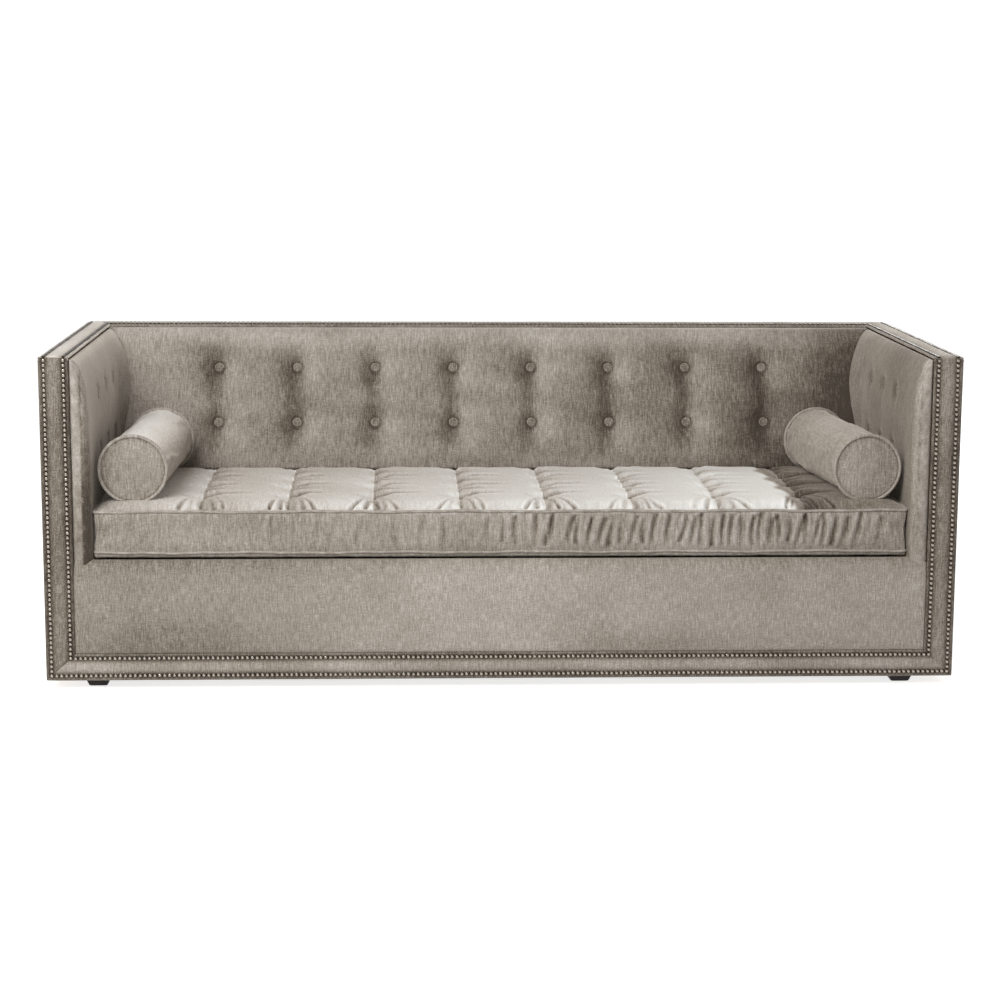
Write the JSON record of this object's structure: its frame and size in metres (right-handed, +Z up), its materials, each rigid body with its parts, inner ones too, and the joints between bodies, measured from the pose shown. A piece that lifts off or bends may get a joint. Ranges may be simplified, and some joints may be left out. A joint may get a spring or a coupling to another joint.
{
  "type": "sofa bed",
  "caption": "Tuxedo-style sofa bed with arms as high as the buttoned back, a tufted bench cushion, bolsters, nail-head trim and a fold-out steel bed under the seat.",
  "frame": {"origin": "on the floor under the middle of the sofa", "axes": "+X along the sofa's length, -Y towards the front, +Z up"},
  "size_m": [2.34, 0.96, 0.86],
  "materials": {
    "shell_velvet": "greige velvet with a fine upright weave",
    "cushion_velvet": "greige velvet, brushed lighter on top",
    "bolster_velvet": "greige velvet with welted ends",
    "timber": "planed hardwood",
    "plywood": "sanded plywood",
    "nail_heads": "antique nickel domes",
    "black_feet": "black stained wood",
    "painted_steel": "satin black powder coat",
    "bright_steel": "zinc plate",
    "deck_cloth": "black woven polypropylene",
    "webbing": "black webbing",
    "ticking": "white quilted ticking",
    "rubber_tips": "black rubber"
  },
  "bodies": {
    "sofa": {"left_front_border": "shell_velvet", "right_front_border": "shell_velvet", "bottom_front_border": "shell_velvet", "front_panel": "shell_velvet", "front_rail": "timber", "rear_rail": "timber", "left_side_rail": "timber", "right_side_rail": "timber", "left_arm_panel": "plywood", "right_arm_panel": "plywood", "arm_posts": "timber", "arm_rails": "timber", "left_arm_cover": "shell_velvet", "right_arm_cover": "shell_velvet", "left_arm_cap": "shell_velvet", "right_arm_cap": "shell_velvet", "back_posts": "timber", "back_top_rail": "timber", "back_ribs": "timber", "back_board": "plywood", "back_cover": "shell_velvet", "back_cap": "shell_velvet", "left_arm_pad": "shell_velvet", "right_arm_pad": "shell_velvet", "back_pad": "shell_velvet", "back_buttons": "shell_velvet", "left_arm_buttons": "shell_velvet", "right_arm_buttons": "shell_velvet", "front_nail_rows": "nail_heads", "arm_nail_rows": "nail_heads", "back_nail_rows": "nail_heads", "front_left_foot": "black_feet", "front_right_foot": "black_feet", "rear_left_foot": "black_feet", "rear_right_foot": "black_feet", "left_side_plate": "painted_steel", "right_side_plate": "painted_steel", "fixed_pivots": "bright_steel", "plate_bolts": "bright_steel"},
    "rear_link_pair": {"rear_links": "painted_steel", "lift_shaft": "bright_steel"},
    "front_link_pair": {"front_links": "painted_steel"},
    "seat_section": {"seat_section_frame": "painted_steel", "seat_section_pins": "bright_steel", "left_hinge_plate": "painted_steel", "right_hinge_plate": "painted_steel", "seat_section_deck": "deck_cloth", "seat_mattress": "ticking"},
    "fold_section": {"fold_section_frame": "painted_steel", "left_hinge_arm": "painted_steel", "right_hinge_arm": "painted_steel", "fold_section_deck": "deck_cloth", "fold_mattress": "ticking", "pull_strap": "webbing"},
    "bed_legs": {"leg_shaft": "bright_steel", "legs": "painted_steel", "leg_tips": "rubber_tips"},
    "cushion": {"seat_cushion": "cushion_velvet"},
    "left_bolster_body": {"left_bolster": "bolster_velvet"},
    "right_bolster_body": {"right_bolster": "bolster_velvet"}
  },
  "joints": [
    {"name": "bed_fold", "type": "hinge", "parent": "sofa", "child": "rear_link_pair", "pos_m": [0, 0.15, 0.16225], "axis": [1, 0, 0], "range_deg": [0, 108]},
    {"name": "front_link_turn", "type": "hinge", "parent": "sofa", "child": "front_link_pair", "pos_m": [0, -0.3, 0.16225], "axis": [1, 0, 0], "range_deg": [0, 108]},
    {"name": "seat_section_turn", "type": "hinge", "parent": "rear_link_pair", "child": "seat_section", "pos_m": [0, 0.32364, 0.062], "axis": [-1, 0, 0], "range_deg": [0, 108]},
    {"name": "fold_section_turn", "type": "hinge", "parent": "seat_section", "child": "fold_section", "pos_m": [0, -0.345, 0.1942], "axis": [1, 0, 0], "range_deg": [0, 180]},
    {"name": "leg_turn", "type": "hinge", "parent": "fold_section", "child": "bed_legs", "pos_m": [0, 0.16, 0.3264], "axis": [-1, 0, 0], "range_deg": [0, 90]},
    {"name": "cushion_off", "type": "hinge", "parent": "fold_section", "child": "cushion", "pos_m": [0, 0.196, 0.50948], "axis": [-1, 0, 0], "range_deg": [0, 180]},
    {"name": "left_bolster_lift", "type": "slide", "parent": "cushion", "child": "left_bolster_body", "axis": [0, 0, 1], "range_m": [0, 0.4]},
    {"name": "right_bolster_lift", "type": "slide", "parent": "cushion", "child": "right_bolster_body", "axis": [0, 0, 1], "range_m": [0, 0.4]}
  ],
  "couplings": [
    {"joint": "front_link_turn", "follows": "bed_fold", "ratio": 1},
    {"joint": "seat_section_turn", "follows": "bed_fold", "ratio": 1},
    {"joint": "fold_section_turn", "follows": "bed_fold", "ratio": 1.6667},
    {"joint": "leg_turn", "follows": "bed_fold", "ratio": 0.83333},
    {"joint": "cushion_off", "follows": "bed_fold", "ratio": 1.6667}
  ]
}
